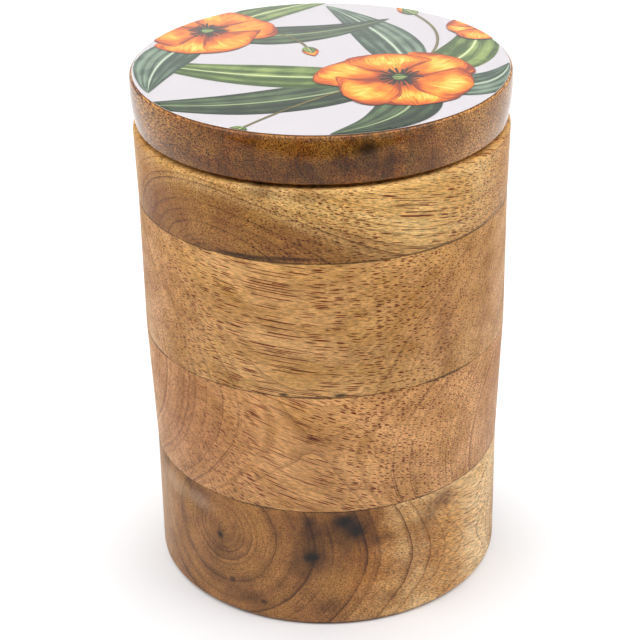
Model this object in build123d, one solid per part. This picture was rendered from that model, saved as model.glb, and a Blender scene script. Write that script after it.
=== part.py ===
from build123d import *
import os

# Wooden storage jar, turned from four blocks glued one on another, with a lift-off lid.
# Sizes are in millimetres. Z is up, and the origin is the middle of the underside.
# Every piece is turned about Z, so its outline is drawn as radius and height.

# Body
rim_radius = 57.0  # outside of the rim
waist_inset = 0.6  # the middle ring is this much narrower than the rim
foot_inset = 2.2  # the base block is this much narrower than the rim
wall = 9.5  # wood between the rim's outside and the bore
floor_thickness = 12.0
base_block_height = 41.7
lower_ring_height = 40.6
middle_ring_height = 43.4
rim_ring_height = 22.8
foot_round = 2.0
rim_round = 1.4
mouth_round = 1.0
bore_corner = 6.0  # rounding between the bore and the floor

# Lid
lid_height = 16.0
lid_overhang = 0.3  # the lid's widest place stands this far outside the rim
lid_belly_height = 10.2  # from the lid's underside to its widest place
lid_foot_inset = 1.2  # the side leans in this much from the widest place to the lower edge
lid_foot_round = 1.0
lid_gap = 1.2  # height of the shadow gap that is cut under the lid's edge
lid_gap_depth = 4.0  # how far the gap goes in from the lower edge
lid_shoulder_inset = 0.3  # the side leans in this much from the widest place to the top
lid_top_round = 0.6
print_margin = 0.7  # bare wood round the printed sheet
print_thickness = 0.3
coat_thickness = 0.6
coat_round = 0.4

# Plug under the lid
plug_height = 12.0
plug_clearance = 1.5  # room for the wood to swell in the bore
plug_round = 1.2
groove_drop = 2.6  # wood above the groove
groove_rise = 2.8  # wood below the groove
groove_depth = 3.2

# Seal in the groove
seal_clearance = 0.15  # the fins' tips are this far from the bore
seat_clearance = 0.06  # the seal is this far from the groove's floor and sides
seal_band = 1.6  # thickness of the band that the fins stand on
fin_count = 3
fin_root = 1.0
fin_tip = 0.5
fin_rise = 0.4  # how far a fin's tip stands above its root

# Places that follow from the sizes
bore_radius = rim_radius - wall
waist_radius = rim_radius - waist_inset
foot_radius = rim_radius - foot_inset
base_top = base_block_height
lower_top = base_top + lower_ring_height
middle_top = lower_top + middle_ring_height
rim_top = middle_top + rim_ring_height
lid_top = rim_top + lid_height
print_top = lid_top + print_thickness
coat_top = print_top + coat_thickness
lid_radius = rim_radius + lid_overhang
lid_foot = lid_radius - lid_foot_inset
lid_shoulder = lid_radius - lid_shoulder_inset
print_radius = lid_shoulder - print_margin
plug_radius = bore_radius - plug_clearance
plug_bottom = rim_top - plug_height
groove_top = rim_top - groove_drop
groove_bottom = plug_bottom + groove_rise
groove_floor = plug_radius - groove_depth


def turned(*corners):
    """A solid of revolution about Z. Each corner is its radius, its height and its rounding."""
    points = [(radius, 0, height) for radius, height, rounding in corners]
    outline = FilletPolyline(points, radius=[rounding for *_, rounding in corners], close=True)
    return revolve(make_face(outline), Axis.Z)


def make_base_block():
    """The bottom block, which holds the floor and the lower end of the bore."""
    return turned(
        (0, 0, 0),
        (foot_radius, 0, foot_round),
        (foot_radius, base_top, 0),
        (bore_radius, base_top, 0),
        (bore_radius, floor_thickness, bore_corner),
        (0, floor_thickness, 0),
    )


def make_ring(bottom, top, outer_bottom, outer_top, outer_round=0, inner_round=0):
    """A block of the wall, bored through, whose outside may lean."""
    return turned(
        (bore_radius, bottom, 0),
        (outer_bottom, bottom, 0),
        (outer_top, top, outer_round),
        (bore_radius, top, inner_round),
    )


def make_lid_disc():
    """The lid's wooden disc: a bulging side, and a shadow gap cut under its edge, inside which it rests."""
    foot = (lid_foot, 0, rim_top + lid_gap)
    belly = (lid_radius, 0, rim_top + lid_belly_height)
    shoulder = (lid_shoulder, 0, lid_top)
    step = lid_foot - lid_gap_depth
    underside = ((0, 0, rim_top), (step, 0, rim_top), (step, 0, rim_top + lid_gap))
    outline = Polyline(shoulder, (0, 0, lid_top), *underside, foot)
    outline += ThreePointArc(foot, belly, shoulder)
    face = make_face(outline)
    for corner, rounding in ((foot, lid_foot_round), (shoulder, lid_top_round)):
        face = fillet(face.vertices().sort_by_distance(corner)[0], rounding)
    return revolve(face, Axis.Z)


def make_print_sheet():
    """The printed sheet on the disc."""
    return turned(
        (0, lid_top, 0),
        (print_radius, lid_top, 0),
        (print_radius, print_top, 0),
        (0, print_top, 0),
    )


def make_clear_coat():
    """The clear resin over the print."""
    return turned(
        (0, print_top, 0),
        (print_radius, print_top, 0),
        (print_radius, coat_top, coat_round),
        (0, coat_top, 0),
    )


def make_lid_plug():
    """The disc under the lid that drops into the mouth, with a groove for the seal."""
    return turned(
        (0, plug_bottom, 0),
        (plug_radius, plug_bottom, plug_round),
        (plug_radius, groove_bottom, 0),
        (groove_floor, groove_bottom, 0),
        (groove_floor, groove_top, 0),
        (plug_radius, groove_top, 0),
        (plug_radius, rim_top, 0),
        (0, rim_top, 0),
    )


def make_seal_ring():
    """The silicone ring: a band that sits in the groove, with fins that reach for the bore."""
    inner = groove_floor + seat_clearance
    band = inner + seal_band
    tip = bore_radius - seal_clearance
    bottom = groove_bottom + seat_clearance
    top = groove_top - seat_clearance
    pitch = (top - bottom) / fin_count
    corners = [(inner, bottom, 0), (band, bottom, 0)]
    for number in range(fin_count):
        root = bottom + (number + 0.5) * pitch
        corners += [
            (band, root - fin_root / 2, 0),
            (tip, root - fin_tip / 2 + fin_rise, 0),
            (tip, root + fin_tip / 2 + fin_rise, 0),
            (band, root + fin_root / 2, 0),
        ]
    corners += [(band, top, 0), (inner, top, 0)]
    return turned(*corners)


parts = {
    "base_block": make_base_block(),
    "lower_ring": make_ring(base_top, lower_top, foot_radius, waist_radius),
    "middle_ring": make_ring(lower_top, middle_top, waist_radius, waist_radius),
    "rim_ring": make_ring(middle_top, rim_top, waist_radius, rim_radius, rim_round, mouth_round),
    "lid_disc": make_lid_disc(),
    "lid_plug": make_lid_plug(),
    "seal_ring": make_seal_ring(),
    "print_sheet": make_print_sheet(),
    "clear_coat": make_clear_coat(),
}

os.makedirs("parts", exist_ok=True)
for name, solid in parts.items():
    export_step(solid, f"parts/{name}.step")
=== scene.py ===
# %% [markdown]
# # A turned mango wood storage jar
# The jar is four blocks of wood, glued one on another, turned on a lathe and bored out, with a lid that
# drops into the mouth on a plug. The CAD model gives every piece its place and size. This script gives
# each one its worked surface, its grain and its finish. Lengths are in metres where no comment says
# millimetres, and Z is up.

import math
import random
import bmesh
import bpy
from mathutils import Euler, Matrix, Vector, noise


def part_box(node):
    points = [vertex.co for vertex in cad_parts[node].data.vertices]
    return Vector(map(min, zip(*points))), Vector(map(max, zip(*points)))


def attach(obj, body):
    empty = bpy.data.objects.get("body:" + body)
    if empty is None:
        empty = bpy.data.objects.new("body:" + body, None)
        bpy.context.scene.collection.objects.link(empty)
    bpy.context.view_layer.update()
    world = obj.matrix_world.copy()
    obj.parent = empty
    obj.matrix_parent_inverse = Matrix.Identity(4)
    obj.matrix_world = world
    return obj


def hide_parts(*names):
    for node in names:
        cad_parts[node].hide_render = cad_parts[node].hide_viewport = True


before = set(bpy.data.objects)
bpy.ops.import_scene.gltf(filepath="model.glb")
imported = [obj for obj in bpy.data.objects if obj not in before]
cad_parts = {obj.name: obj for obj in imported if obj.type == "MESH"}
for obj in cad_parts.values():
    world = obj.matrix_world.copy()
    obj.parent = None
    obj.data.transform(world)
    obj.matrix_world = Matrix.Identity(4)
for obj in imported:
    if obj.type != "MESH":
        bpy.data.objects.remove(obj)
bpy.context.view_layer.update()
MM = 0.001

# %% [markdown]
# ## Helpers for materials
# A material is a small machine of nodes. One function adds a node with its settings and its links, so
# each recipe below reads as a list of steps. Colours are given as sRGB hex values, as in any paint
# program, but the shader works with linear light, so one function turns one into the other.
#
# Inputs are often given by number. A Math node's are 0, 1 and 2. A Map Range has its value at 0, the span
# that it comes from at 1 and 2, and the span that it goes to at 3 and 4. A Mix of two colours has the
# share of the second at 0 and the colours at 6 and 7, and hands on the mixed one at 2.

# %% Nodes and colours
MIXED = {"data_type": "RGBA", "out": 2}


def linear(code):
    """The linear colour of an sRGB hex value."""
    channels = [int(code[at:at + 2], 16) / 255 for at in (1, 3, 5)]
    return [c / 12.92 if c <= 0.04045 else ((c + 0.055) / 1.055) ** 2.4 for c in channels] + [1.0]


def add(tree, kind, inputs=(), out=0, stops=(), **settings):
    """Adds a node. inputs gives a socket its value or the socket that feeds it. Hands on one output, by
    name or number, or the node itself where out is None."""
    made = tree.nodes.new("ShaderNode" + kind)
    for name, value in settings.items():
        setattr(made, name, value)
    for name, value in dict(inputs).items():
        if isinstance(value, bpy.types.NodeSocket):
            tree.links.new(value, made.inputs[name])
        else:
            made.inputs[name].default_value = value
    for number, (place, colour) in enumerate(stops):
        ramp = made.color_ramp.elements
        stop = ramp[number] if number < len(ramp) else ramp.new(place)
        stop.position = place
        stop.color = colour if hasattr(colour, "__len__") else (colour, colour, colour, 1)
    return made if out is None else made.outputs[out]


def empty_material(name):
    """A material with nothing in it yet, and its tree."""
    material = bpy.data.materials.new(name)
    material.use_nodes = True
    material.node_tree.nodes.clear()
    return material, material.node_tree


def new_material(name):
    """A material, its tree, and its one shader."""
    material, tree = empty_material(name)
    shader = add(tree, "BsdfPrincipled", out=None)
    add(tree, "OutputMaterial", {"Surface": shader.outputs[0]}, out=None)
    return material, tree, shader


print("gold is", [round(v, 3) for v in linear("#C89B5F")])

# %% [markdown]
# ## The camera
# The photograph was taken from a little above, looking down 27 degrees, with a long lens. The numbers come
# from fitting a camera to the outlines of the jar, so the render and the photograph can be compared
# point by point. The horizon was tilted by one degree, and so is this camera.

# %% Place the camera
FOCAL_PIXELS = 1975.3  # for a picture 640 pixels wide
PICTURE_WIDTH = 640
SENSOR = 36.0
DISTANCE = 0.6282
LOOK_DOWN = math.radians(27.468)
ROLL = math.radians(-0.996)
AIM_HEIGHT = 0.0788
SIDE_STEP = -0.001585


def placed(name, data):
    """An object in the scene."""
    made = bpy.data.objects.new(name, data)
    bpy.context.scene.collection.objects.link(made)
    return made


camera = placed("camera", bpy.data.cameras.new("camera"))
camera.data.sensor_width = SENSOR
camera.data.lens = FOCAL_PIXELS / PICTURE_WIDTH * SENSOR
camera.data.clip_start = 0.01
turned_down = Matrix.Rotation(math.pi / 2 - LOOK_DOWN, 4, "X") @ Matrix.Rotation(ROLL, 4, "Z")
place = Vector((SIDE_STEP, -DISTANCE * math.cos(LOOK_DOWN), AIM_HEIGHT + DISTANCE * math.sin(LOOK_DOWN)))
camera.matrix_world = Matrix.Translation(place) @ turned_down
bpy.context.scene.camera = camera
print("lens", round(camera.data.lens, 1), "mm, camera at", [round(v, 4) for v in place])

# %% [markdown]
# ## Mango wood
# Mango wood is a golden tan hardwood with scattered pores. Sawn across the fibres, each pore is a dark
# dot a quarter of a millimetre wide. Sawn along them, it is a dash some millimetres long. A picture
# wrapped round the jar can't show both, so the wood here is a solid pattern that fills the block, and
# the turned surface cuts through it, as the lathe did.
#
# The first step turns a point of the jar into a point of the log: x runs along the fibres, and y and z
# across them from the pith. A slow noise then bends the fibres, because no tree grows straight.

# %% From the jar to the log
TURNED_RADIUS = 56  # mm, near the outside of the jar
DRIFT_SIZE = (200, 22)  # mm along the fibres and across them, from one bend to the next


def from_front(azimuth, radius, height):
    """A point in metres. Azimuth is in degrees from the side that faces the camera, to the right."""
    turn = math.radians(azimuth)
    return radius * math.sin(turn) * MM, -radius * math.cos(turn) * MM, height * MM


def log_turn(lie):
    """The log's rotation. lie is the azimuth where the fibres lie along the surface, their fall and roll."""
    facing, slope, roll = (math.radians(angle) for angle in lie)
    return roll, slope, facing


def one_per(along, across):
    """The scale of a pattern that repeats at a size along the fibres and another across them."""
    return 1 / along, 1 / across, 1 / across


def in_log(tree, place, pith, lie, wander):
    """The point in the log, in millimetres, with straight fibres and with bent ones."""
    straight = add(tree, "Mapping", {0: place, "Location": pith, "Rotation": log_turn(lie),
                                     "Scale": (MM, MM, MM)}, vector_type="TEXTURE")
    slow = add(tree, "VectorMath", {0: straight, 1: one_per(*DRIFT_SIZE)}, operation="MULTIPLY")
    drift = add(tree, "TexNoise", {"Vector": slow, "Scale": 1.0, "Detail": 3.0, "Roughness": 0.5}, "Color")
    bent = add(tree, "VectorMath", {0: drift, 1: (0, wander, wander), 2: straight},
               operation="MULTIPLY_ADD")
    return straight, bent


def from_pith(tree, bent, wander, oval):
    """How far a point is from the pith. A log that grew on a slope is oval."""
    centred = add(tree, "VectorMath", {0: bent, 1: (0, wander / 2, wander / 2)}, operation="SUBTRACT")
    across = add(tree, "VectorMath", {0: centred, 1: (0, oval, 1)}, operation="MULTIPLY")
    return add(tree, "VectorMath", {0: across}, "Value", operation="LENGTH")


print("front of the jar", from_front(0, TURNED_RADIUS, 0))

# %% [markdown]
# ## Growth rings
# A tree lays a ring round the pith each year, which darkens slowly and ends in a thin dark line. A
# distance divided by a ring's width and cut to its fraction gives just that, and raising it to a power
# leaves the line. Years differ, so each draws its own strength. A block's boldest rings are listed:
# a colour ramp counts them outwards from the pith, and the same power then sharpens each one.

# %% Rings of chance, and listed rings
YEAR_SPREAD = 14.0  # mm that good and bad years push the rings about
LINE_POWER = 3.4  # for each mm of a ring's width
LAST_RING = 2.0  # mm of wood beyond the last listed ring
FIRST_RING = 3.0  # mm over which the first one darkens
CRISP, SOFT = 26.0, 6.0  # powers for a ring's line and the shade before it


def growth_rings(tree, straight, reach, gap, ink):
    """The years: an uneven distance, patches where rings are plain, the lines, and the late wood."""
    years = add(tree, "TexNoise", {"W": reach, "Scale": 0.09, "Detail": 1.0}, noise_dimensions="1D")
    uneven = add(tree, "Math", {0: years, 1: YEAR_SPREAD, 2: reach}, operation="MULTIPLY_ADD")
    count = add(tree, "Math", {0: uneven, 1: gap}, operation="DIVIDE")
    phase = add(tree, "Math", {0: count}, operation="FRACT")
    year = add(tree, "Math", {0: count}, operation="FLOOR")
    chance = add(tree, "TexWhiteNoise", {"W": year}, "Value", noise_dimensions="1D")
    patchy = add(tree, "TexNoise", {"Vector": straight, "Scale": 0.05, "Detail": 3.0})
    inked = add(tree, "MapRange", {0: patchy, 1: 0.36, 2: 0.56, 3: 0.2, 4: 1.0})
    strong = add(tree, "MapRange", {0: chance, 1: 0.1, 2: 0.8, 3: 0.1 * ink, 4: ink})
    strong = add(tree, "Math", {0: strong, 1: inked}, operation="MULTIPLY")
    line = add(tree, "Math", {0: phase, 1: LINE_POWER * gap}, operation="POWER")
    line = add(tree, "Math", {0: line, 1: strong}, operation="MULTIPLY", use_clamp=True)
    late = add(tree, "Math", {0: phase, 1: strong}, operation="MULTIPLY")
    return uneven, patchy, line, late


def rings_at(tree, reach, patchy, marks):
    """Rings at given distances from the pith, each with its strength."""
    longest, many = marks[-1][0] + LAST_RING, len(marks) + 1
    share = add(tree, "Math", {0: reach, 1: longest}, operation="DIVIDE")
    places = [(0.0, 0.0), (max(0.0, marks[0][0] - FIRST_RING) / longest, 0.0)]
    places += [(mark / longest, (n + 1) / many) for n, (mark, _) in enumerate(marks)]
    places += [(1.0, (many - 0.5) / many)]
    strengths = [strength for _, strength in marks] + [0.0]
    counted = add(tree, "ValToRGB", {0: share}, stops=places)
    inks = add(tree, "ValToRGB", {0: counted}, None,
               [((n + 0.002) / many, strength) for n, strength in enumerate(strengths)])
    inks.color_ramp.interpolation = "CONSTANT"
    within = add(tree, "Math", {0: counted, 1: many}, operation="MULTIPLY")
    within = add(tree, "Math", {0: within}, operation="FRACT")
    crisp = add(tree, "Math", {0: within, 1: CRISP}, operation="POWER")
    soft = add(tree, "Math", {0: within, 1: SOFT}, operation="POWER")
    drawn = add(tree, "Math", {0: soft, 1: 0.3, 2: crisp}, operation="MULTIPLY_ADD")
    drawn = add(tree, "Math", {0: drawn, 1: inks.outputs[0]}, operation="MULTIPLY")
    faded = add(tree, "MapRange", {0: patchy, 1: 0.34, 2: 0.52, 3: 0.5, 4: 1.0})
    return add(tree, "Math", {0: drawn, 1: faded}, operation="MULTIPLY", use_clamp=True)


# %% [markdown]
# ## Pores and fibres
# The pores are long straight tubes side by side, which a flat cell pattern across the fibres gives: a
# dot in each cell, and the third direction left out. Each tube draws its width and where it breaks. The
# fibres bow round with the surface where they lie along it, so pores are cut into long dashes there.
# A pore that is cut open along its length is darker than the end of one.

# %% Tubes, their breaks, and the grit between them
PORE_LENGTH = 45.0  # mm from one break of a pore to the next
PORE_OPEN = 0.78  # the share of that length that is open
PORE_SHIFT = 9.0  # how many lengths apart two neighbours may break
SIDE_CUT, END_CUT = 28 ** 2, 48 ** 2  # mm from where the fibres lie along the surface, squared
FIBRE_SIZE = (2.5, 0.4)  # mm, coarser than real fibres so that they show


def pores_and_fibres(tree, bent, pith, lie, bow, pore_gap, pore_size, pore_flat, end_pores):
    """Two masks: where a pore is, and how light the fibres are."""
    split = add(tree, "SeparateXYZ", {0: bent}, None)
    touch = Vector(from_front(lie[0], TURNED_RADIUS, pith[2] / MM)) - Vector(pith)
    level = (Euler(log_turn(lie)).to_matrix().transposed() @ touch).x / MM
    from_there = add(tree, "Math", {0: split.outputs[0], 1: level}, operation="SUBTRACT")
    rise = add(tree, "Math", {0: from_there, 1: from_there}, operation="MULTIPLY")
    bowed = add(tree, "Math", {0: rise, 1: -bow / (2 * TURNED_RADIUS), 2: split.outputs[1]},
                operation="MULTIPLY_ADD")

    deep = add(tree, "Math", {0: bowed, 1: pore_flat}, operation="MULTIPLY")
    flat = add(tree, "CombineXYZ", {0: deep, 1: split.outputs[2]})
    cells = add(tree, "TexVoronoi", {"Vector": flat, "Scale": 1 / pore_gap}, None, voronoi_dimensions="2D")
    pick = add(tree, "SeparateColor", {0: cells.outputs["Color"]}, None)
    edge = add(tree, "MapRange", {0: pick.outputs[0], 3: pore_size[0], 4: pore_size[1]})
    inner = add(tree, "Math", {0: cells.outputs["Distance"], 1: edge}, operation="DIVIDE")
    pore = add(tree, "MapRange", {0: inner, 1: 1.15, 2: 0.75, 3: 0.0, 4: 1.0})

    along = add(tree, "Math", {0: split.outputs[0], 1: PORE_LENGTH}, operation="DIVIDE")
    along = add(tree, "Math", {0: pick.outputs[1], 1: PORE_SHIFT, 2: along}, operation="MULTIPLY_ADD")
    along = add(tree, "Math", {0: along}, operation="FRACT")
    whole = add(tree, "Math", {0: along, 1: PORE_OPEN}, operation="LESS_THAN")
    pore = add(tree, "Math", {0: pore, 1: whole}, operation="MULTIPLY")
    opened = add(tree, "MapRange", {0: rise, 1: SIDE_CUT, 2: END_CUT, 3: 1.0, 4: end_pores})
    pore = add(tree, "Math", {0: pore, 1: opened}, operation="MULTIPLY")

    fibre = add(tree, "CombineXYZ", {0: split.outputs[0], 1: bowed, 2: split.outputs[2]})
    fine = add(tree, "VectorMath", {0: fibre, 1: one_per(*FIBRE_SIZE)}, operation="MULTIPLY")
    fibres = add(tree, "TexNoise", {"Vector": fine, "Scale": 1.0, "Detail": 2.0, "Roughness": 0.8})
    return pore, fibres


# %% [markdown]
# ## The colour of the wood
# Heartwood, near the pith, is darker than the sapwood round it, and the border between them is ragged.
# Both have clouds and bands of a lighter and a darker tone, and here and there a golden streak. Each is
# a noise that mixes two colours, at the size that the real ones have.

# %% Heartwood, sapwood and gold
GOLD = "#D09A48"
FIGURE_SIZE = (30, 9)  # mm, the clouds in the wood


def wood_colour(tree, bent, reach, uneven, late, heart, shade, sap, cloudy, gold):
    """The colour before rings and pores, and the clouds in it."""
    season = add(tree, "TexNoise", {"W": uneven, "Scale": 0.5, "Detail": 4.0, "Roughness": 0.6},
                 noise_dimensions="1D")
    broad = add(tree, "VectorMath", {0: bent, 1: one_per(*FIGURE_SIZE)}, operation="MULTIPLY")
    figure = add(tree, "TexNoise", {"Vector": broad, "Scale": 1.0, "Detail": 4.0, "Roughness": 0.6}, None)
    clouds = figure.outputs[0]
    hue = add(tree, "SeparateColor", {0: figure.outputs["Color"]}, 1)
    tone = add(tree, "MapRange", {0: clouds, 1: 0.32, 2: 0.68, 3: 0.3 - 0.45 * cloudy,
                                  4: 0.3 + 0.45 * cloudy}, clamp=False)
    bands = add(tree, "MapRange", {0: season, 1: 0.3, 2: 0.7, 3: -0.25, 4: 0.3}, clamp=False)
    toned = add(tree, "Math", {0: bands, 1: tone}, operation="ADD")
    toned = add(tree, "Math", {0: late, 1: 0.6, 2: toned}, operation="MULTIPLY_ADD", use_clamp=True)
    colour = add(tree, "Mix", {0: toned, 6: linear(heart), 7: linear(shade)}, **MIXED)
    if sap:
        sap_from, sap_to, sap_colour, sap_shade = sap
        out = add(tree, "Math", {0: tone, 1: -5.0, 2: reach}, operation="MULTIPLY_ADD")
        out = add(tree, "MapRange", {0: out, 1: sap_from, 2: sap_to}, interpolation_type="SMOOTHSTEP")
        pale = add(tree, "Mix", {0: toned, 6: linear(sap_colour), 7: linear(sap_shade)}, **MIXED)
        colour = add(tree, "Mix", {0: out, 6: colour, 7: pale}, **MIXED)
    golden = add(tree, "MapRange", {0: hue, 1: 0.42, 2: 0.62, 3: 0.0, 4: gold})
    return add(tree, "Mix", {0: golden, 6: colour, 7: linear(GOLD)}, **MIXED), clouds


# %% [markdown]
# ## Stains, knots, glue and painted light
# A knot, a burr or a pale streak belongs to one spot of the block, and so do the painted shade and the
# painted sheen on some blocks, so each is given one by one: an egg of colour with an edge torn by noise and
# combed by the fibres. Where two blocks meet, glue was squeezed out and sanded off again, which leaves a
# thin dark line that comes and goes. The same line, drawn in the gap under the lid, is painted shade.

# %% Spots of colour, painted shade and painted sheen, and dark lines of glue and painted shade
SPOT_DEPTH = 16  # mm that a spot of colour goes into the wood
GLUE_AND_SHADE_BROWN = "#1E110A"
DARK_LINE_RISE = 0.2 * MM  # the line lies this far above its given height
DARK_LINE_WAVE = 0.4 * MM
DARK_LINE_WIDTH = (0.16 * MM, 0.6 * MM)


def with_stains_and_shade(tree, colour, place, bent, fibres, spots):
    """Lays spots over a colour: stains, knots, pale streaks, painted shade and painted sheen. Each gives its
    place, half width, half height, strength, tint and blend.
    """
    ragged = add(tree, "TexNoise", {"Vector": bent, "Scale": 0.4, "Detail": 5.0, "Roughness": 0.7}, "Color")
    for azimuth, height, wide, tall, strength, tint, blend in spots:
        spot = from_front(azimuth, TURNED_RADIUS, height)
        size = (wide * MM, SPOT_DEPTH * MM, tall * MM)
        local = add(tree, "Mapping", {0: place, "Location": spot, "Rotation": (0, 0, math.radians(azimuth)),
                                      "Scale": size}, vector_type="TEXTURE")
        torn = add(tree, "VectorMath", {0: ragged, 1: (0.9, 0.9, 0.9), 2: local}, operation="MULTIPLY_ADD")
        torn = add(tree, "VectorMath", {0: torn, 1: (0.45, 0.45, 0.45)}, operation="SUBTRACT")
        away = add(tree, "VectorMath", {0: torn}, "Value", operation="LENGTH")
        away = add(tree, "Math", {0: fibres, 1: -0.7, 2: away}, operation="MULTIPLY_ADD")
        cover = add(tree, "MapRange", {0: away, 1: 0.75, 2: -0.2, 3: 0.0, 4: strength},
                    interpolation_type="SMOOTHSTEP")
        colour = add(tree, "Mix", {0: cover, 6: colour, 7: linear(tint)}, blend_type=blend, **MIXED)
    return colour


def with_glue_and_shade_lines(tree, colour, place, glue_and_shade_lines):
    """Draws a dark line at each height given: glue at a seam, and painted shade in the gap under the lid."""
    height = add(tree, "SeparateXYZ", {0: place}, 2)
    rough_edge = add(tree, "TexNoise", {"Vector": place, "Scale": 400.0, "Detail": 3.0})
    height = add(tree, "Math", {0: rough_edge, 1: DARK_LINE_WAVE, 2: height}, operation="MULTIPLY_ADD")
    width_noise = add(tree, "TexNoise", {"Vector": place, "Scale": 55.0, "Detail": 3.0})
    width = add(tree, "MapRange", {0: width_noise, 1: 0.42, 2: 0.64, 3: DARK_LINE_WIDTH[0], 4: DARK_LINE_WIDTH[1]})
    for line_height in glue_and_shade_lines:
        off = add(tree, "Math", {0: height, 1: line_height + DARK_LINE_RISE}, operation="SUBTRACT")
        off = add(tree, "Math", {0: off}, operation="ABSOLUTE")
        dark_line = add(tree, "Math", {0: off, 1: width}, operation="DIVIDE")
        dark_line = add(tree, "MapRange", {0: dark_line, 1: 1.0, 2: 0.2, 3: 0.0, 4: 0.75})
        colour = add(tree, "Mix", {0: dark_line, 6: colour, 7: linear(GLUE_AND_SHADE_BROWN)}, **MIXED)
    return colour


# %% [markdown]
# ## The whole recipe
# One function now puts the steps together, with what differs from log to log as its settings: where the
# pith is, how the fibres lie, the colours, the rings and the pores. The jar was oiled, so the wood has a
# soft gloss, uneven as the clouds are, and a bump so fine that the light only just finds the pores.

# %% Put the wood together
PORE_TINT = "#863E04"  # a pore holds dark oil: warm brown, not black
RING_TINT = "#7A5434"
BUMP_HEIGHT = 0.05 * MM


def mango_wood(name, pith, lie, heart, shade, sap=None, gap=4.0, ink=0.3, marks=(), wander=2.0, oval=1.0,
               pore_gap=0.5, pore_size=(0.02, 0.42), pore_flat=0.85, end_pores=0.75, grit=0.9, gold=0.35,
               cloudy=1.0, glue_and_shade_lines=(), stains_and_shade=(), pale_streaks_and_sheen=(), dullness=0.48, ior=1.33, relief=0.5, bow=0.4):
    """Mango wood. Sizes are in millimetres, but the pith's place and the dark lines' heights are in metres.
    """
    material, tree, shader = new_material(name)
    place = add(tree, "TexCoord", out="Object")
    straight, bent = in_log(tree, place, pith, lie, wander)
    reach = from_pith(tree, bent, wander, oval)
    uneven, patchy, line, late = growth_rings(tree, straight, reach, gap, ink)
    if marks:
        drawn = rings_at(tree, reach, patchy, marks)
        line = add(tree, "Math", {0: drawn, 1: line}, operation="MAXIMUM")
    pore, fibres = pores_and_fibres(tree, bent, pith, lie, bow, pore_gap, pore_size, pore_flat, end_pores)

    colour, clouds = wood_colour(tree, bent, reach, uneven, late, heart, shade, sap, cloudy, gold)
    streak = add(tree, "MapRange", {0: fibres, 1: 0.34, 2: 0.66, 3: 1 - 0.42 * grit, 4: 1 + 0.34 * grit})
    colour = add(tree, "VectorMath", {0: colour, "Scale": streak}, operation="SCALE")
    colour = add(tree, "Mix", {0: line, 6: colour, 7: linear(RING_TINT)}, blend_type="MULTIPLY", **MIXED)
    colour = add(tree, "Mix", {0: pore, 6: colour, 7: linear(PORE_TINT)}, blend_type="MULTIPLY", **MIXED)
    spots = [(*dark_spot, "MULTIPLY") for dark_spot in stains_and_shade] + [(*spot, "MIX") for spot in pale_streaks_and_sheen]
    if spots:
        colour = with_stains_and_shade(tree, colour, place, bent, fibres, spots)
    if glue_and_shade_lines:
        colour = with_glue_and_shade_lines(tree, colour, place, glue_and_shade_lines)
    tree.links.new(colour, shader.inputs["Base Color"])

    dull = add(tree, "MapRange", {0: clouds, 1: 0.3, 2: 0.7, 3: 0.88 * dullness, 4: 1.16 * dullness})
    tree.links.new(dull, shader.inputs["Roughness"])
    shader.inputs["IOR"].default_value = ior
    ups = add(tree, "Math", {0: pore, 1: -1.0, 2: fibres}, operation="MULTIPLY_ADD")
    bump = add(tree, "Bump", {"Strength": relief, "Distance": BUMP_HEIGHT, "Height": ups})
    tree.links.new(bump, shader.inputs["Normal"])
    print(name, len(tree.nodes), "nodes")
    return material


# %% [markdown]
# ## Six blocks from six logs
# Each block came from another plank, so each gets its own log: a place for the pith and a direction of
# the fibres, found from the arches that its rings draw on the turned face. The base block holds its
# pith, and with it the dark heart and the knots. The others were cut from paler sapwood further out.

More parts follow.
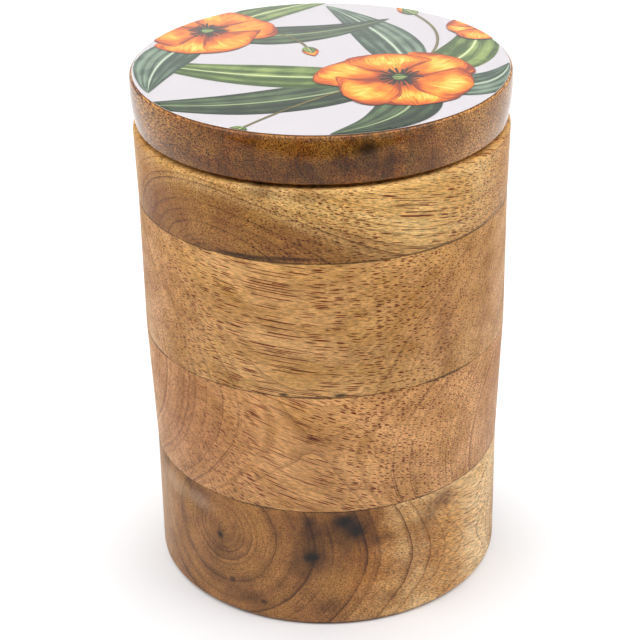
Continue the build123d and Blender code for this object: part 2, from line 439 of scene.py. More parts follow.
# %% The base block
SEAMS = [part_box(node)[1].z for node in ("base_block", "lower_ring", "middle_ring")]
woods = {"base_block": mango_wood(
    "mango_heartwood_base", from_front(-37.7, 44.2, 27.9), (54.5, 10.9, 0), "#AD7640", "#774D29",
    # The sapwood on the right is real, but its colours are paler than the wood, which also paints a sheen on
    # the base's right edge.
    sap=(41, 56, "#FFDEA8", "#E0AE6E"), gap=2.6, ink=0.55,
    marks=((1.2, 0.6), (8.6, 0.8), (13.0, 0.55), (19.0, 0.95), (21.9, 0.4), (29.8, 1.0), (42.4, 1.0),
           (43.9, 0.8), (50.7, 0.9), (53.3, 0.8), (54.9, 0.55), (56.1, 0.5), (57.2, 0.6), (58.1, 0.4)),
    pore_gap=0.46, pore_size=(0.09, 0.28), pore_flat=1.0, end_pores=1.5, grit=1.3, gold=0.25, glue_and_shade_lines=SEAMS,
    stains_and_shade=((-38, 27, 1.8, 1.8, 1.0, "#3A2A20"), (-38, 27.5, 7, 7, 0.45, "#8A6A50"),
           (-5.4, 25.3, 4.2, 4.0, 1.0, "#2A1C14"), (-7, 23, 10, 8, 0.65, "#5E4636"),
           (-6.3, 38.5, 2.4, 3.5, 0.7, "#4A3A30"), (-6.5, 33, 5, 10, 0.65, "#6E5644"),
           (5.2, 38.2, 4.6, 3.6, 1.0, "#261A14"), (8.4, 34.6, 4.4, 4.2, 1.0, "#2A1C14"),
           (7, 36, 10, 9, 0.65, "#5E4A3C"), (17, 30.5, 7, 2.6, 0.5, "#6A5446"),
           (1, 35, 24, 16, 0.55, "#92765C"), (40, 37.6, 8, 5, 0.7, "#86685E"),
           (34, 33, 5, 6, 0.55, "#8A6C58"), (20, 8.5, 7, 3, 0.4, "#8A7464"),
           (-28, 7, 14, 5, 0.6, "#7E6444"), (-46, 39, 7, 4, 0.5, "#8A6E66"),
           (-33.5, 11.7, 1.6, 1.6, 0.8, "#3A2A20"), (-22.1, 6.4, 1.6, 1.4, 0.8, "#3A2A20"),
           # These two tall blots lay the pale sapwood darker again but for the right edge, so that edge keeps
           # a painted sheen.
           (41, 20, 18, 40, 1.0, "#D6BA90"), (17, 20, 15, 40, 1.0, "#FEEFD4")),
    # The first of these is a painted sheen on the base's left edge; the other two are pale streaks in the
    # wood.
    pale_streaks_and_sheen=((-78, 24, 18, 26, 0.6, "#CDA47C"), (-62, 36, 12, 5, 0.5, "#C8A47E"),
              (-47, 36, 8, 4, 0.4, "#B8987C")),
    ior=1.42, bow=0.3)}

# %% The two middle blocks
woods["lower_ring"] = mango_wood(
    "mango_sapwood_lower", from_front(98.2, 96.7, 32.3), (-2.6, 20.2, 0), "#E9AE72", "#B9814A",
    gap=2.6, ink=0.8, oval=0.91, gold=0.25, glue_and_shade_lines=SEAMS, ior=1.38,
    marks=((46.5, 0.6), (50.0, 0.5), (53.2, 0.75), (54.7, 0.55), (57.4, 0.5), (60.4, 0.8), (62.7, 1.0),
           (67.4, 0.4), (68.8, 0.6)),
    # painted shade: these three broad blots darken the ring towards its sides, as seen from the front
    stains_and_shade=((-54, 62, 26, 34, 0.75, "#DCCAC4"), (74, 62, 20, 34, 0.75, "#DCC8A4"),
           (-34, 62, 20, 28, 0.5, "#DCC8B4")))
woods["middle_ring"] = mango_wood(
    "mango_sapwood_middle", from_front(10.7, -38.7, 67.0), (-8.2, 4.7, 0), "#E7B172", "#B58146",
    gap=3.6, ink=0.35, wander=2.4, gold=0.4, glue_and_shade_lines=SEAMS, cloudy=1.25, bow=0.65,
    marks=((72.0, 0.5), (75.5, 0.5), (79.0, 0.45), (83.5, 0.45), (87.0, 0.5), (90.6, 0.7), (91.9, 0.45),
           (94.6, 0.5)),
    # painted shade: the four broad blots that span the ring's height darken it towards its sides, as seen
    # from the front
    stains_and_shade=((34, 104, 20, 26, 0.4, "#CCAC80"), (60, 104, 26, 34, 0.4, "#DCC4AC"),
           (-58, 104, 22, 34, 0.5, "#EAD6D2"), (-84, 104, 16, 34, 0.7, "#DCC8C0"),
           (4, 83.1, 3.0, 0.9, 0.95, "#2A2018"), (-13, 82.9, 2.0, 0.7, 0.9, "#2A2018"),
           (38, 98, 5, 16, 0.4, "#B08C68")))

# %% The rim block
woods["rim_ring"] = mango_wood(
    "mango_sapwood_rim", from_front(-24, 40, 119), (30.1, 11.6, -3.5), "#B67B3E", "#8A5726",
    sap=(15, 27, "#FFD68E", "#F2B462"), gap=1.9, ink=0.75, wander=1.8, oval=0.6, glue_and_shade_lines=SEAMS, cloudy=0.5,
    gold=0.4, pore_gap=0.46, grit=1.1, end_pores=0.9,
    marks=((5.6, 0.7), (10.85, 1.0), (14.1, 0.9), (16.9, 0.6), (22.6, 0.9)),
    stains_and_shade=((-24, 126.5, 15, 1.1, 0.9, "#4E4238"), (-10, 127.2, 13, 0.8, 0.8, "#4E3C30"),
           # painted shade on the rim just under the lid's edge
           (-18, 147.5, 7, 3.5, 0.6, "#6A4A2C"), (-5, 147, 9, 3, 0.4, "#7A5A3C"),
           # painted shade: these three broad blots darken the ring towards its sides, as seen from the front
           (72, 137, 26, 26, 0.8, "#D6C0AE"), (-70, 137, 28, 26, 0.8, "#D4BCA4"),
           (44, 137, 14, 20, 0.4, "#E6D4C0")))

# %% The lid and its plug
GAP_SHADE_HEIGHT = 0.6 * MM  # painted shade: a dark line in the gap under the lid, this far above its foot
woods["lid_disc"] = mango_wood(
    "mango_heartwood_lid", from_front(0, 57, 157), (-74, 3, 0), "#96581A", "#50300E",
    sap=(24, 46, "#CC9050", "#9E6A2E"), gap=9.0, ink=0.1, wander=4.0, pore_gap=0.5, pore_size=(0.16, 0.4),
    pore_flat=1.0, end_pores=1.0, grit=1.9, gold=0.3, relief=0.2, dullness=0.11, ior=1.37, bow=0,
    glue_and_shade_lines=[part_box("lid_disc")[0].z + GAP_SHADE_HEIGHT],
    stains_and_shade=((13, 160, 5, 3.4, 0.9, "#4A3A30"), (-14, 154, 26, 5, 0.5, "#8A6E58"),
           (12, 156, 18, 3, 0.5, "#7A6450")))
woods["lid_plug"] = mango_wood(
    "mango_sapwood_plug", from_front(120, 30, 190), (-66, 3, 0), "#C59355", "#93622F", gap=5.0, ink=0.35,
    bow=0)

# %% [markdown]
# ## Turning
# Every piece of the jar comes off a lathe, and Blender's spin operator is one: it sweeps an outline
# round the axis. The rounded edges are then made as a turner makes them, by easing sharp corners, which
# here is a bevel. The outlines are measured on the CAD pieces.

# %% A lathe
STEPS = 240  # round the axis
SAME = 1e-6  # metres: nearer than this, two places are one
SHARP = math.radians(35)  # an edge that turns by more stays sharp


def edges_at(shape, radius, height):
    """The ring of edges that lies at a radius and a height."""
    def near(vertex):
        return abs(math.hypot(vertex.co.x, vertex.co.y) - radius) < SAME and abs(vertex.co.z - height) < SAME
    return [edge for edge in shape.edges if near(edge.verts[0]) and near(edge.verts[1])]


def turned(name, corners, eased, body, node, material):
    """Spins an outline. eased gives some corners, by number, their rounding and its steps."""
    shape = bmesh.new()
    rail = [shape.verts.new((radius, 0, height)) for radius, height in corners]
    closed = rail if corners[0][0] == 0 else rail + rail[:1]
    edges = [shape.edges.new(pair) for pair in zip(closed, closed[1:])]
    bmesh.ops.spin(shape, geom=rail + edges, cent=(0, 0, 0), axis=(0, 0, 1), angle=math.tau, steps=STEPS,
                   use_merge=True)
    bmesh.ops.remove_doubles(shape, verts=shape.verts, dist=SAME / 10)
    bmesh.ops.recalc_face_normals(shape, faces=shape.faces)
    for number, (rounding, steps) in eased.items():
        radius, height = corners[number]
        ring = edges_at(shape, radius, height)
        turn = ring[0].calc_face_angle()
        bmesh.ops.bevel(shape, geom=ring, offset=rounding * math.tan(turn / 2), offset_type="OFFSET",
                        segments=steps, profile=0.5, affect="EDGES", material=-1, clamp_overlap=True)
    return finish_piece(name, shape, body, node, material)


def finish_piece(name, shape, body, node, material):
    """Makes an object of a shape, smooth but for its sharp edges, that rides on its body."""
    mesh = bpy.data.meshes.new(name)
    shape.to_mesh(mesh)
    shape.free()
    mesh.polygons.foreach_set("use_smooth", [True] * len(mesh.polygons))
    mesh.set_sharp_from_angle(angle=SHARP)
    mesh.materials.append(material)
    piece = placed(name, mesh)
    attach(piece, body)
    if node:
        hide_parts(node)
    print(name, len(mesh.polygons), "faces")
    return piece


# %% [markdown]
# ## The four blocks of the body
# The base block is a cup, and the three blocks on it are rings with the same bore. The seams were sanded
# after the glue had set, so their edges are eased by only a fifth of a millimetre, which still catches
# the light. The foot, the mouth and the corner in the bore are rounded as on the CAD pieces.

# %% Turn the body
def inside_radius(node):
    """The smallest distance of a CAD piece's surface from the axis, which is its bore."""
    return min(math.hypot(v.co.x, v.co.y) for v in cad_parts[node].data.vertices)


BORE = inside_radius("rim_ring")
FLOOR = 12 * MM
SEAM_EASE = (0.18 * MM, 2)
FOOT_ROUND, BORE_CORNER = (2 * MM, 5), (6 * MM, 8)
RIM_ROUND, MOUTH_ROUND = (1.4 * MM, 5), (1.0 * MM, 4)
foot, waist, rim = (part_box(node)[1].x for node in ("base_block", "middle_ring", "rim_ring"))
base_top, lower_top, middle_top = SEAMS
rim_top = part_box("rim_ring")[1].z
turned("base", [(0, 0), (foot, 0), (foot, base_top), (BORE, base_top), (BORE, FLOOR), (0, FLOOR)],
       {1: FOOT_ROUND, 2: SEAM_EASE, 4: BORE_CORNER}, "jar", "base_block", woods["base_block"])
for name, low, high, low_radius, high_radius, eased in (
        ("lower", base_top, lower_top, foot, waist, {1: SEAM_EASE, 2: SEAM_EASE}),
        ("middle", lower_top, middle_top, waist, waist, {1: SEAM_EASE, 2: SEAM_EASE}),
        ("rim", middle_top, rim_top, waist, rim, {1: SEAM_EASE, 2: RIM_ROUND, 3: MOUTH_ROUND})):
    node = name + "_ring"
    turned(name, [(BORE, low), (low_radius, low), (high_radius, high), (BORE, high)], eased, "jar", node,
           woods[node])

# %% [markdown]
# ## The lid
# A dark disc, fullest above the middle, with a paler plug under it that drops into the mouth. Its edge
# stands a millimetre clear of the rim, which gives the black line under the lid.

# %% Turn the lid and its plug
lid_low, lid_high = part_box("lid_disc")
lid_widest = lid_high.x
FOOT_INSET, SHOULDER_INSET = 1.2 * MM, 0.3 * MM
GAP_HEIGHT, GAP_DEPTH = 1.2 * MM, 4 * MM
BELLY_HEIGHT = 10.2 * MM
LID_FOOT_ROUND, BELLY_ROUND, SHOULDER_ROUND = (1 * MM, 5), (36 * MM, 8), (0.6 * MM, 3)
lid_foot, lid_shoulder = lid_widest - FOOT_INSET, lid_widest - SHOULDER_INSET
gap_top, step = lid_low.z + GAP_HEIGHT, lid_foot - GAP_DEPTH
lid_outline = [(0, lid_low.z), (step, lid_low.z), (step, gap_top), (lid_foot, gap_top),
               (lid_widest, lid_low.z + BELLY_HEIGHT), (lid_shoulder, lid_high.z), (0, lid_high.z)]
turned("lid_top", lid_outline, {3: LID_FOOT_ROUND, 4: BELLY_ROUND, 5: SHOULDER_ROUND}, "lid", "lid_disc",
       woods["lid_disc"])

GROOVE_DEPTH, GROOVE_DROP, GROOVE_RISE = 3.2 * MM, 2.6 * MM, 2.8 * MM
PLUG_ROUND, GROOVE_EASE = (1.2 * MM, 4), (0.3 * MM, 2)
plug_low, plug_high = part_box("lid_plug")
plug = plug_high.x
groove = plug - GROOVE_DEPTH
groove_top, groove_low = plug_high.z - GROOVE_DROP, plug_low.z + GROOVE_RISE
turned("plug", [(0, plug_low.z), (plug, plug_low.z), (plug, groove_low), (groove, groove_low),
                (groove, groove_top), (plug, groove_top), (plug, plug_high.z), (0, plug_high.z)],
       {1: PLUG_ROUND, 2: GROOVE_EASE, 5: GROOVE_EASE}, "lid", "lid_plug", woods["lid_plug"])

# %% [markdown]
# ## The silicone seal
# A milky ring sits in the plug's groove. Its three thin fins bend against the bore and hold the air out.
# The outline has each fin's foot, tip and slope, and is spun like the wood.

# %% Turn the seal
def milky_silicone():
    """Moulded silicone: pale and soft, so light gets a little way in and comes out again."""
    material, tree, shader = new_material("milky_silicone")
    place = add(tree, "TexCoord", out="Object")
    cloud = add(tree, "TexNoise", {"Vector": place, "Scale": 180.0, "Detail": 2.0})
    colour = add(tree, "Mix", {0: cloud, 6: linear("#F6F6F2"), 7: linear("#EAECE6")}, **MIXED)
    tree.links.new(colour, shader.inputs["Base Color"])
    shader.inputs["Roughness"].default_value = 0.42
    shader.inputs["IOR"].default_value = 1.41
    shader.inputs["Subsurface Weight"].default_value = 0.25
    shader.inputs["Subsurface Scale"].default_value = 1.2 * MM
    return material


FINS = 3
BAND = 1.6 * MM  # thickness of the band that the fins stand on
FIN_ROOT, FIN_TIP, FIN_RISE = 1.0 * MM, 0.5 * MM, 0.4 * MM
TIP_ROUND = (0.2 * MM, 3)
seal_low, seal_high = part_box("seal_ring")
inner = inside_radius("seal_ring")
band = inner + BAND
tip = seal_high.x
pitch = (seal_high.z - seal_low.z) / FINS
seal_outline = [(inner, seal_low.z), (band, seal_low.z)]
tips = {}
for fin in range(FINS):
    root = seal_low.z + (fin + 0.5) * pitch
    first = len(seal_outline) + 1
    seal_outline += [(band, root - FIN_ROOT / 2), (tip, root + FIN_RISE - FIN_TIP / 2),
                     (tip, root + FIN_RISE + FIN_TIP / 2), (band, root + FIN_ROOT / 2)]
    tips.update({first: TIP_ROUND, first + 1: TIP_ROUND})
seal_outline += [(band, seal_high.z), (inner, seal_high.z)]
turned("seal", seal_outline, tips, "seal", "seal_ring", milky_silicone())

# %% [markdown]
# ## The printed sheet
# The lid carries a picture printed on white paper, under clear resin. The paper is a thin disc, and
# where its normal points sideways it shows its stained, cut edge.

# %% The paper
INK_ROUGHNESS, INK_IOR = 0.6, 1.2  # matt, because the gloss is the resin's


def matt(shader, tree, colour):
    """Gives a shader its colour and the dull face of paper and ink."""
    tree.links.new(colour, shader.inputs["Base Color"])
    shader.inputs["Roughness"].default_value = INK_ROUGHNESS
    shader.inputs["IOR"].default_value = INK_IOR


def printed_paper():
    """Coated paper: near white with a breath of lilac. The stain of the wood has crept into its cut edge."""
    material, tree, shader = new_material("printed_paper_ground")
    place = add(tree, "TexCoord", out="Object")
    cloud = add(tree, "TexNoise", {"Vector": place, "Scale": 45.0, "Detail": 3.0})
    colour = add(tree, "Mix", {0: cloud, 6: linear("#D3CED8"), 7: linear("#CDC8D2")}, **MIXED)
    up = add(tree, "SeparateXYZ", {0: add(tree, "NewGeometry", out="Normal")}, out=2)
    cut = add(tree, "Math", {0: up, 1: 0.5}, operation="LESS_THAN")
    colour = add(tree, "Mix", {0: cut, 6: colour, 7: linear("#8A6038")}, **MIXED)
    matt(shader, tree, colour)
    return material


paper = printed_paper()
print(paper.name, len(paper.node_tree.nodes), "nodes")

# %% [markdown]
# ## Inks
# A drawn leaf has a pale midrib, parallel veins and a darker half, and a petal is yellow where the light
# falls. Both show the strokes of the brush along them. All of that follows the patch, so it reads the
# UV map, and only the uneven wash of colour lies over the whole sheet.

# %% Inks of the leaves and the petals
def brushed(tree, stretch, detail, roughness, wash_scale):
    """U along a patch, V across it, the distance from its middle line, streaks along it, and a wash."""
    along = add(tree, "UVMap")
    u, v, _ = add(tree, "SeparateXYZ", {0: along}, None).outputs
    aside = add(tree, "Math", {0: v, 1: 0.5}, operation="SUBTRACT")
    aside = add(tree, "Math", {0: aside}, operation="ABSOLUTE")
    grain = add(tree, "VectorMath", {0: along, 1: (*stretch, 1)}, operation="MULTIPLY")
    streaks = add(tree, "TexNoise", {"Vector": grain, "Scale": 1.0, "Detail": detail, "Roughness": roughness})
    place = add(tree, "TexCoord", out="Object")
    wash = add(tree, "TexNoise", {"Vector": place, "Scale": wash_scale, "Detail": 3.0})
    return u, v, aside, streaks, wash


def ink_of_leaf(name, dark, light, vein, stripes=9.0):
    """Ink of a strap leaf, with parallel veins, which are stripes in V."""
    material, tree, shader = new_material(name)
    u, v, aside, streaks, wash = brushed(tree, (5, 34), 3.0, 0.65, 140.0)
    ribs = add(tree, "Math", {0: v, 1: stripes}, operation="MULTIPLY")
    ribs = add(tree, "Math", {0: ribs, 1: 0.5}, operation="ADD")
    rib = add(tree, "Math", {0: ribs, 1: 1.0}, operation="PINGPONG")
    valley = add(tree, "MapRange", {0: rib, 1: 0.3, 2: 0.95, 3: 0.0, 4: 0.6})
    fold = add(tree, "MapRange", {0: v, 1: 0.47, 2: 0.56, 3: 0.28, 4: -0.12})
    body = add(tree, "MapRange", {0: streaks, 1: 0.3, 2: 0.7, 3: -0.1, 4: 0.65}, clamp=False)
    body = add(tree, "Math", {0: body, 1: fold}, operation="ADD")
    body = add(tree, "Math", {0: body, 1: valley}, operation="SUBTRACT")
    washed = add(tree, "MapRange", {0: wash, 1: 0.35, 2: 0.65, 3: -0.15, 4: 0.3})
    body = add(tree, "Math", {0: body, 1: washed}, operation="ADD", use_clamp=True)
    colour = add(tree, "Mix", {0: body, 6: linear(dark), 7: linear(light)}, **MIXED)
    midrib = add(tree, "MapRange", {0: aside, 1: 0.035, 2: 0.012, 3: 0.0, 4: 0.85})
    rim_ink = add(tree, "MapRange", {0: aside, 1: 0.44, 2: 0.5, 3: 0.0, 4: 0.55})
    foot_ink = add(tree, "MapRange", {0: u, 1: 0.14, 2: 0.0, 3: 0.0, 4: 0.5})
    for where, tint in ((rim_ink, dark), (foot_ink, dark), (midrib, vein)):
        colour = add(tree, "Mix", {0: where, 6: colour, 7: linear(tint)}, **MIXED)
    matt(shader, tree, colour)
    return material


def ink_of_petal():
    """Ink of a poppy's petal: yellow where the light falls, deep orange at the foot and the folds."""
    material, tree, shader = new_material("ink_orange_petal")
    u, _, aside, streaks, wash = brushed(tree, (3, 26), 4.0, 0.6, 110.0)
    lit = add(tree, "ValToRGB", {0: u}, stops=((0.0, 0.0), (0.22, 0.22), (0.62, 0.85), (0.86, 0.6),
                                               (1.0, 0.25)))
    fold = add(tree, "MapRange", {0: aside, 1: 0.18, 2: 0.5, 3: 0.0, 4: 0.5})
    lit = add(tree, "Math", {0: lit, 1: fold}, operation="SUBTRACT")
    stripe = add(tree, "MapRange", {0: streaks, 1: 0.3, 2: 0.7, 3: -0.36, 4: 0.3})
    lit = add(tree, "Math", {0: lit, 1: stripe}, operation="ADD")
    washed = add(tree, "MapRange", {0: wash, 1: 0.35, 2: 0.65, 3: -0.2, 4: 0.18})
    lit = add(tree, "Math", {0: lit, 1: washed}, operation="ADD", use_clamp=True)
    colour = add(tree, "ValToRGB", {0: lit}, stops=(
        (0.0, linear("#8E300A")), (0.3, linear("#D8620E")), (0.58, linear("#EF8C1E")),
        (0.82, linear("#F9B63A")), (1.0, linear("#FCDA74"))))
    matt(shader, tree, colour)
    return material


inks = {
    "deep": ink_of_leaf("ink_deep_green", "#1E2C20", "#5E7350", "#A9B98A"),
    "mid": ink_of_leaf("ink_moss_green", "#3A5222", "#9CB066", "#DCE4B0", 7.0),
    "grey": ink_of_leaf("ink_grey_green", "#33463A", "#8BA08C", "#CBD8C2", 11.0),
    "petal": ink_of_petal(),
    "stalk": ink_of_leaf("ink_brown_stalk", "#5A4A2C", "#8E8A4E", "#B4AE74", 2.0),
    "seed": ink_of_leaf("ink_dark_seed", "#120D09", "#35290F", "#4E3E20", 3.0),
}
print(len(inks), "inks")

# %% [markdown]
# ## Drawing with patches
# A petal, a leaf or a stalk is one patch: a flat grid, whose UV map runs along it and across it. It
# runs from its foot to its tip on a curve of three points, and a shape says how wide it is on the way. A
# little noise ruffles its edge. Each lies a hundredth of a millimetre above the last and covers it.

# %% Lay a patch of ink along a curve
INK_STEP = 0.009 * MM  # from one layer of ink to the next
RUFFLES, RUFFLE_SEED = 3.1, 400  # waves along an edge, and what sets each layer's apart
sheet_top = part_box("print_sheet")[1].z
ink_level = sheet_top
layers = {ink: bmesh.new() for ink in inks}
for layer in layers.values():
    layer.loops.layers.uv.new("along")


def blade(u):
    """Half the width of a strap leaf, as a share: widest two fifths of the way up, with a long tip."""
    return max(0.01, math.sin(math.pi * u ** 0.72) ** 0.8)


def petal_shape(u):
    """Half the width of a petal: narrow at the foot, and broad near its blunt end."""
    return max(0.03, 1.05 * math.sin(math.pi * min(1, u) ** 1.7) ** 0.62 * (1 - 0.25 * (1 - u)))


def even(u):
    """The same width all along, for a stalk."""
    return 1.0


def patch(ink, foot, bend, tip, half_width, shape_of, along=30, across=8, ruffle=0.0, lift=True):
    """One flat patch from foot to tip, in millimetres, on a new layer or the last one."""
    global ink_level
    ink_level += INK_STEP if lift else 0
    foot, bend, tip = Vector(foot), Vector(bend), Vector(tip)
    made = bmesh.ops.create_grid(layers[ink], x_segments=along, y_segments=across, size=1, calc_uvs=True)
    for vertex in made["verts"]:
        u, v = (vertex.co.x + 1) / 2, vertex.co.y
        first, second = foot.lerp(bend, u), bend.lerp(tip, u)
        ahead = (second - first).normalized()
        wave = 1 + ruffle * u * noise.noise((RUFFLES * u + foot.x, v, RUFFLE_SEED * ink_level))
        spot = first.lerp(second, u) + Vector((-ahead.y, ahead.x)) * v * half_width * shape_of(u) * wave
        vertex.co = (spot.x * MM, spot.y * MM, ink_level)


print("a leaf is widest at", max(range(100), key=lambda n: blade(n / 100)), "% of its length")

# %% [markdown]
# ## The picture
# The picture is our own: three poppies, nine strap leaves and three buds, which run over the sheet's
# edge as on a cut print. The draws of chance have a fixed seed, so each run draws the same picture.

# %% Draw the picture
draw = random.Random(7)
STAMENS = 26
STALK_WIDTH = 0.42  # mm, half of it


def poppy(x, y, size, turn):
    """Six broad petals round a seed head with a ring of stamens."""
    for ring in range(2):
        for number in range(3):
            angle = math.radians(turn + 120 * number + 60 * ring)
            reach = size * draw.uniform(0.92, 1.05) * (1 - 0.08 * ring)
            sway = draw.uniform(-0.15, 0.15) * size
            ahead = Vector((math.cos(angle), math.sin(angle)))
            side = Vector((-ahead.y, ahead.x))
            foot = Vector((x, y)) + ahead * 0.03 * size
            patch("petal", foot, foot + ahead * reach * 0.5 + side * sway, foot + ahead * reach,
                  size * 0.56, petal_shape, along=26, across=16, ruffle=0.5)
    for number in range(STAMENS):
        angle = math.tau * number / STAMENS + draw.uniform(-0.08, 0.08)
        ahead = Vector((math.cos(angle), math.sin(angle)))
        foot = Vector((x, y)) + ahead * size * 0.08
        tip = foot + ahead * size * draw.uniform(0.16, 0.26)
        patch("seed", foot, foot.lerp(tip, 0.5), tip, size * 0.012 + 0.12, even, along=3, across=1,
              lift=number == 0)
    patch("mid", (x - size * 0.1, y), (x, y), (x + size * 0.1, y), size * 0.11, blade, along=12, across=6)


def bud(foot, bend, tip, size):
    """A closed bud on a bent stalk."""
    patch("stalk", foot, bend, tip, STALK_WIDTH, even, along=14, across=2)
    ahead = (Vector(tip) - Vector(bend)).normalized() * size
    patch("petal", tip, Vector(tip) + ahead * 0.8, Vector(tip) + ahead * 1.6, size * 0.5, blade,
          along=16, across=8)
    patch("mid", Vector(tip) - ahead * 0.1, Vector(tip) + ahead * 0.5, Vector(tip) + ahead * 1.1,
          size * 0.42, blade, along=16, across=8)


LEAVES = (
    ("deep", (22, -12), (-14, -40), (-56, -30), 9.6), ("mid", (16, -10), (-16, -16), (-58, 6), 9.0),
    ("grey", (26, -6), (24, 24), (2, 54), 9.0), ("mid", (30, -8), (52, 6), (48, 40), 9.0),
    ("deep", (-32, 30), (-10, 18), (22, 40), 8.0), ("grey", (-36, 24), (-52, 8), (-50, -22), 8.6),
    ("deep", (26, -20), (30, -44), (2, -56), 9.0), ("grey", (30, -18), (52, -26), (56, -2), 8.4),
    ("mid", (-30, 34), (-20, 50), (6, 60), 7.0),
)
for ink, foot, bend, tip, half_width in LEAVES:
    near, far = (Vector(foot).lerp(Vector(bend), share) for share in (0.3, 0.5))
    patch("stalk", foot, near, far, 0.5, even, 8, 2)
    patch(ink, foot, bend, tip, half_width, blade, along=44, across=12, ruffle=0.12)
bud((20, -14), (-2, -26), (-22, -50), 6.5)
bud((26, -8), (44, 20), (30, 44), 6.0)
bud((-34, 28), (-10, 34), (-4, 14), 5.0)
poppy(-35, 31, 21, 15)
poppy(23, -13, 23, 40)
poppy(52, 30, 13, 70)
print("top layer of ink", round((ink_level - sheet_top) / MM, 3), "mm above the sheet")

# %% [markdown]
# ## Cutting the print out
# The print was cut round with the sheet. A plane can cut a mesh and clear one side of it: many such
# cuts, each turned a little further, leave a disc. Each ink is then one piece.

# %% Trim the picture and make it pieces
sheet_low, sheet_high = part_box("print_sheet")
PRINT_RADIUS = sheet_high.x - 0.15 * MM
CUTS = 96
for ink, layer in layers.items():
    for number in range(CUTS):
        angle = math.tau * number / CUTS
        out = Vector((math.cos(angle), math.sin(angle), 0))
        bmesh.ops.bisect_plane(layer, geom=layer.verts[:] + layer.edges[:] + layer.faces[:],
                               plane_co=out * PRINT_RADIUS, plane_no=out, clear_outer=True)
    finish_piece("print_" + ink, layer, "lid", None, inks[ink])
turned("print_ground", [(0, sheet_low.z), (sheet_high.x, sheet_low.z), (sheet_high.x, sheet_high.z),
                        (0, sheet_high.z)], {}, "lid", "print_sheet", paper)

# %% [markdown]
# ## The clear coat
# Resin was poured over the print and set hard, which gives the lid its wet shine and a soft round edge.

# %% Pour the resin
def clear_resin():
    """Clear epoxy. Its gloss grows at a low angle. An IOR below epoxy's 1.5 keeps the print as plain as
    the real one, and light from below it, inside the resin, gives no gloss."""
    material, tree = empty_material("clear_epoxy_resin")
    through = add(tree, "BsdfTransparent", {"Color": linear("#FDFDFB")})
    shine = add(tree, "BsdfGlossy", {"Color": (1, 1, 1, 1), "Roughness": 0.06})
    grazing = add(tree, "Fresnel", {"IOR": 1.28})
    inside = add(tree, "NewGeometry", out="Backfacing")
    outside = add(tree, "Math", {0: 1.0, 1: inside}, operation="SUBTRACT")
    grazing = add(tree, "Math", {0: grazing, 1: outside}, operation="MULTIPLY")
    mixed = add(tree, "MixShader", {0: grazing, 1: through, 2: shine})
    add(tree, "OutputMaterial", {"Surface": mixed}, out=None)
    return material


COAT_ROUND = (0.4 * MM, 5)
coat_low, coat_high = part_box("clear_coat")
above_paper = coat_low.z + 0.002 * MM
turned("resin", [(0, above_paper), (coat_high.x, above_paper), (coat_high.x, coat_high.z), (0, coat_high.z)],
       {2: COAT_ROUND}, "lid", "clear_coat", clear_resin())

# %% [markdown]
# ## The table
# The photograph is a product shot on white. White paint under plain light comes out grey, and more light
# would bleach the jar. So the table glows, but only for the camera and for reflections, and it doesn't
# light the jar. Near the jar its paint shows instead, and on it the soft shadow.

# %% The white table
TABLE_RADIUS = 4.0
GLOW = 1.3
SHADOW_MIDDLE = (0, -0.03, 0)
GLOW_REACH = 0.4  # metres that the ramp of the glow spans
GLOW_RAMP = ((0.07, 0.0), (0.15, 0.25), (0.21, 0.55), (0.4, 0.85))


def seen_directly(tree):
    """1 for what the camera sees, by a reflection or through something clear too, and 0 for light."""
    path = add(tree, "LightPath", out=None).outputs
    seen = add(tree, "Math", {0: path["Is Camera Ray"], 1: path["Is Transmission Ray"]}, operation="MAXIMUM")
    return add(tree, "Math", {0: seen, 1: path["Is Glossy Ray"]}, operation="MAXIMUM")


def white_sweep():
    """White to the camera, with its real shading near the jar."""
    material, tree = empty_material("white_table")
    paint = add(tree, "BsdfDiffuse", {"Color": linear("#E8E8EA")})
    glow = add(tree, "Emission", {"Color": (1, 1, 1, 1), "Strength": GLOW})
    place = add(tree, "TexCoord", out="Object")
    from_jar = add(tree, "VectorMath", {0: place, 1: SHADOW_MIDDLE}, "Value", operation="DISTANCE")
    from_jar = add(tree, "Math", {0: from_jar, 1: GLOW_REACH}, operation="DIVIDE")
    fading = add(tree, "ValToRGB", {0: from_jar}, stops=GLOW_RAMP)
    share = add(tree, "Math", {0: seen_directly(tree), 1: fading}, operation="MULTIPLY", use_clamp=True)
    mixed = add(tree, "MixShader", {0: share, 1: paint, 2: glow})
    add(tree, "OutputMaterial", {"Surface": mixed}, None)
    return material


def flat_piece(name, shape, material):
    """An object of the studio."""
    mesh = bpy.data.meshes.new(name)
    shape.to_mesh(mesh)
    shape.free()
    mesh.materials.append(material)
    return placed(name, mesh)


shape = bmesh.new()
bmesh.ops.create_circle(shape, cap_ends=True, radius=TABLE_RADIUS, segments=64)
floor = flat_piece("table", shape, white_sweep())
print("table", 2 * TABLE_RADIUS, "m across")

# %% [markdown]
# ## The dark cloth
# All round white, a turned object loses its shape. So a photographer lays something dark before it, out
# of the picture, and the front takes less light and shows a deeper reflection. Neither the camera nor
# the lamps' shadows show the cloth.

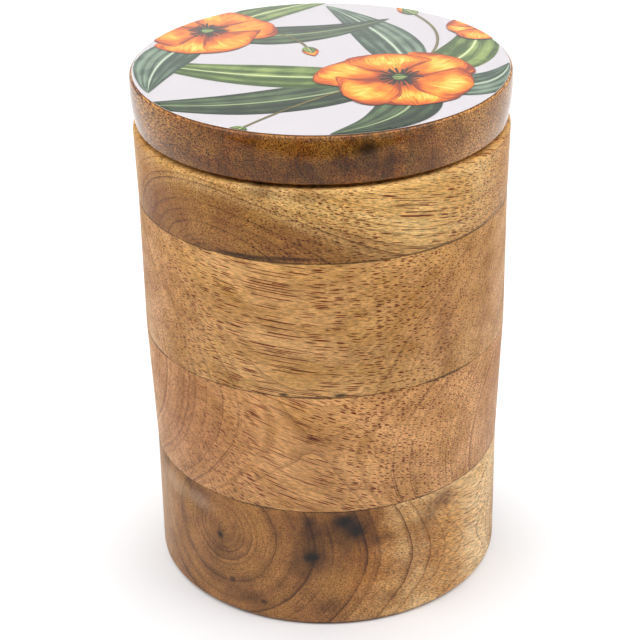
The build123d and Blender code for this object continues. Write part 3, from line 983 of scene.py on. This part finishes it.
# %% Lay the cloth
CLOTH_HALF = 0.5
CLOTH_STRETCH = (1.14, 1.0, 1.0)
CLOTH_MIDDLE = (-0.07, -0.85, 0.0005)

black, tree, shader = new_material("black_velvet")
shader.inputs["Base Color"].default_value = linear("#1C1A1A")
shader.inputs["Roughness"].default_value = 0.9
shape = bmesh.new()
bmesh.ops.create_grid(shape, x_segments=1, y_segments=1, size=CLOTH_HALF)
bmesh.ops.scale(shape, verts=shape.verts, vec=CLOTH_STRETCH)
bmesh.ops.translate(shape, verts=shape.verts, vec=CLOTH_MIDDLE)
cloth = flat_piece("dark_cloth", shape, black)
cloth.visible_camera = False
cloth.visible_shadow = False
print("cloth from", CLOTH_HALF + CLOTH_MIDDLE[1], "to", CLOTH_MIDDLE[1] - CLOTH_HALF, "m")

# %% [markdown]
# ## The room and the lamps
# The room is white to the camera, but it gives the jar only a fifth of that light, or the shadows would
# wash out. Three square softboxes do the rest: one above, the key on the left, and a fill on the right.

# %% Light the jar
ROOM_LIGHT, ROOM_SEEN = 0.2, 1.0
MIDDLE = (0, 0, 0.08)


def lamp(name, place, aim, size, power):
    """A square softbox that faces a point."""
    light = bpy.data.lights.new(name, "AREA")
    light.size = size
    light.energy = power
    made = placed(name, light)
    made.location = place
    made.rotation_euler = (Vector(aim) - Vector(place)).to_track_quat("-Z", "Y").to_euler()


world = bpy.data.worlds.new("studio")
bpy.context.scene.world = world
world.use_nodes = True
tree = world.node_tree
tree.nodes.clear()
strength = add(tree, "MapRange", {0: seen_directly(tree), 3: ROOM_LIGHT, 4: ROOM_SEEN})
sky = add(tree, "Background", {"Color": (1, 1, 1, 1), "Strength": strength})
add(tree, "OutputWorld", {"Surface": sky}, None)

lamp("top_softbox", (0, -0.1, 1.25), MIDDLE, 1.5, 16)
lamp("key_softbox", (-1.1, -0.5, 1.2), MIDDLE, 0.8, 8.5)
lamp("fill_softbox", (1.1, -0.4, 1.2), MIDDLE, 0.8, 8)
bpy.context.scene.view_settings.view_transform = "Standard"
print(len(bpy.data.lights), "lamps")
